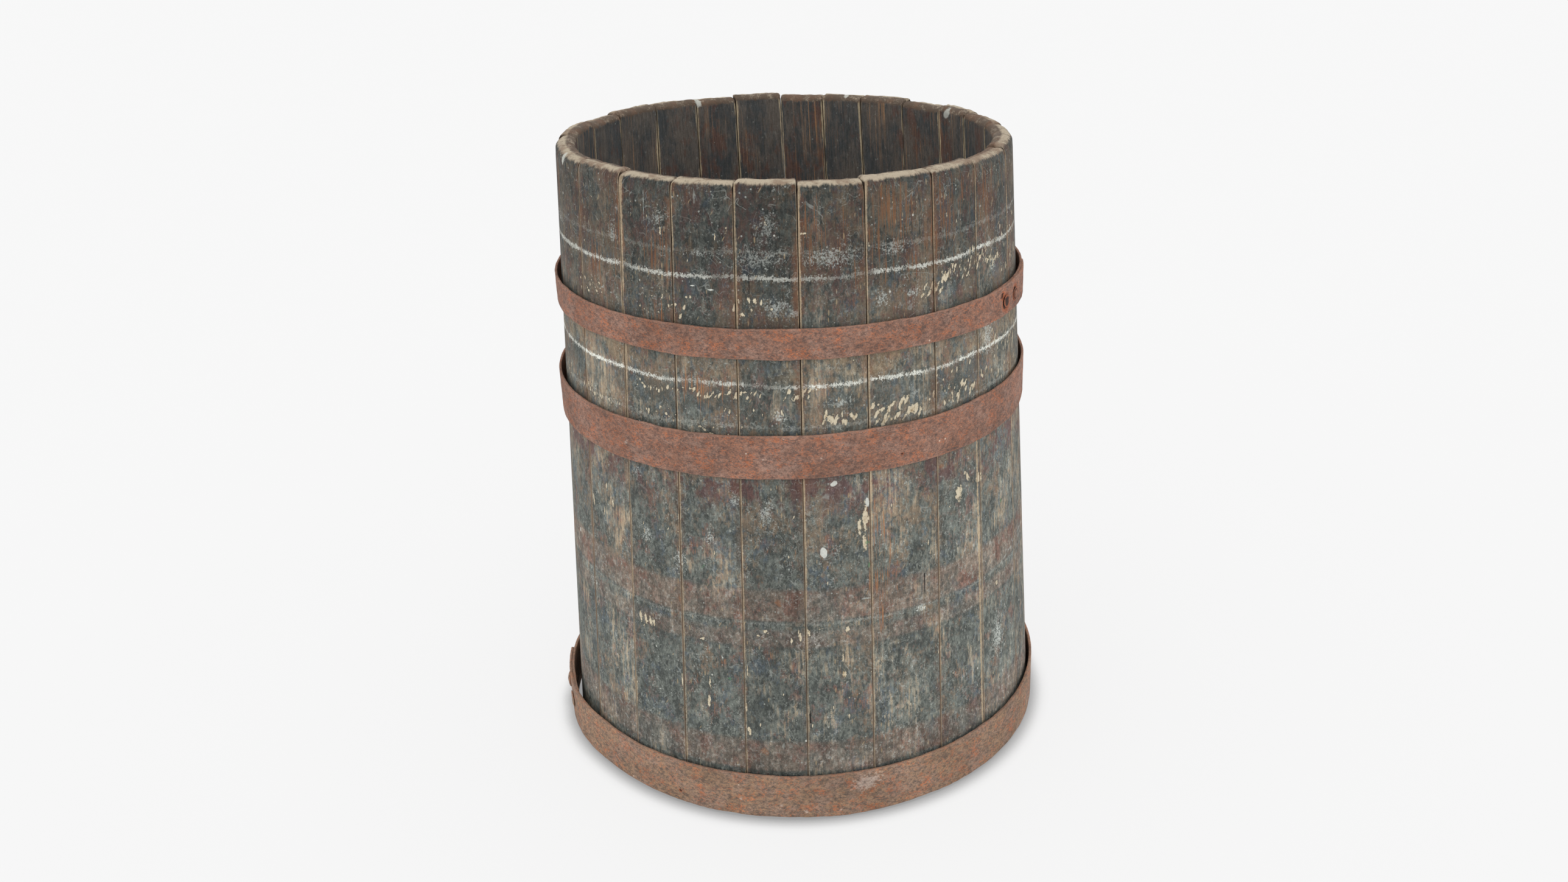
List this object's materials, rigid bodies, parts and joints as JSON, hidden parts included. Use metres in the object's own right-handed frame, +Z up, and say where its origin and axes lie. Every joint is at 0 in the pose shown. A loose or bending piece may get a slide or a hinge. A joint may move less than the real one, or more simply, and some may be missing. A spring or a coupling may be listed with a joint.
{
  "type": "oak wine barrel",
  "caption": "Open, straight-sided oak wine barrel: tapered staves round a dowelled board bottom, bound by riveted iron hoops.",
  "frame": {"origin": "centre of the foot circle, on the floor the barrel stands on", "axes": "+Z up along the barrel's axis, -Y to the front, +X to the right of someone facing the front"},
  "size_m": [0.6373, 0.6262, 0.7724],
  "materials": {
    "staves": "dark weathered oak, stained and scuffed",
    "head": "dark stained oak",
    "dowels": "bare oak",
    "hoops": "matt even rust",
    "rivets": "matt rust"
  },
  "bodies": {
    "root": {"stave_01": "staves", "stave_02": "staves", "stave_03": "staves", "stave_04": "staves", "stave_05": "staves", "stave_06": "staves", "stave_07": "staves", "stave_08": "staves", "stave_09": "staves", "stave_10": "staves", "stave_11": "staves", "stave_12": "staves", "stave_13": "staves", "stave_14": "staves", "stave_15": "staves", "stave_16": "staves", "stave_17": "staves", "stave_18": "staves", "stave_19": "staves", "stave_20": "staves", "stave_21": "staves", "stave_22": "staves", "stave_23": "staves", "stave_24": "staves", "head_board_1": "head", "head_board_2": "head", "head_board_3": "head", "head_board_4": "head", "head_board_5": "head", "head_board_6": "head", "dowel_01": "dowels", "dowel_02": "dowels", "dowel_03": "dowels", "dowel_04": "dowels", "dowel_05": "dowels", "dowel_06": "dowels", "dowel_07": "dowels", "dowel_08": "dowels", "dowel_09": "dowels", "dowel_10": "dowels", "upper_hoop": "hoops", "middle_hoop": "hoops", "lower_hoop": "hoops", "upper_hoop_rivet_1": "rivets", "upper_hoop_rivet_2": "rivets", "middle_hoop_rivet_1": "rivets", "middle_hoop_rivet_2": "rivets", "lower_hoop_rivet_1": "rivets", "lower_hoop_rivet_2": "rivets"}
  },
  "joints": []
}
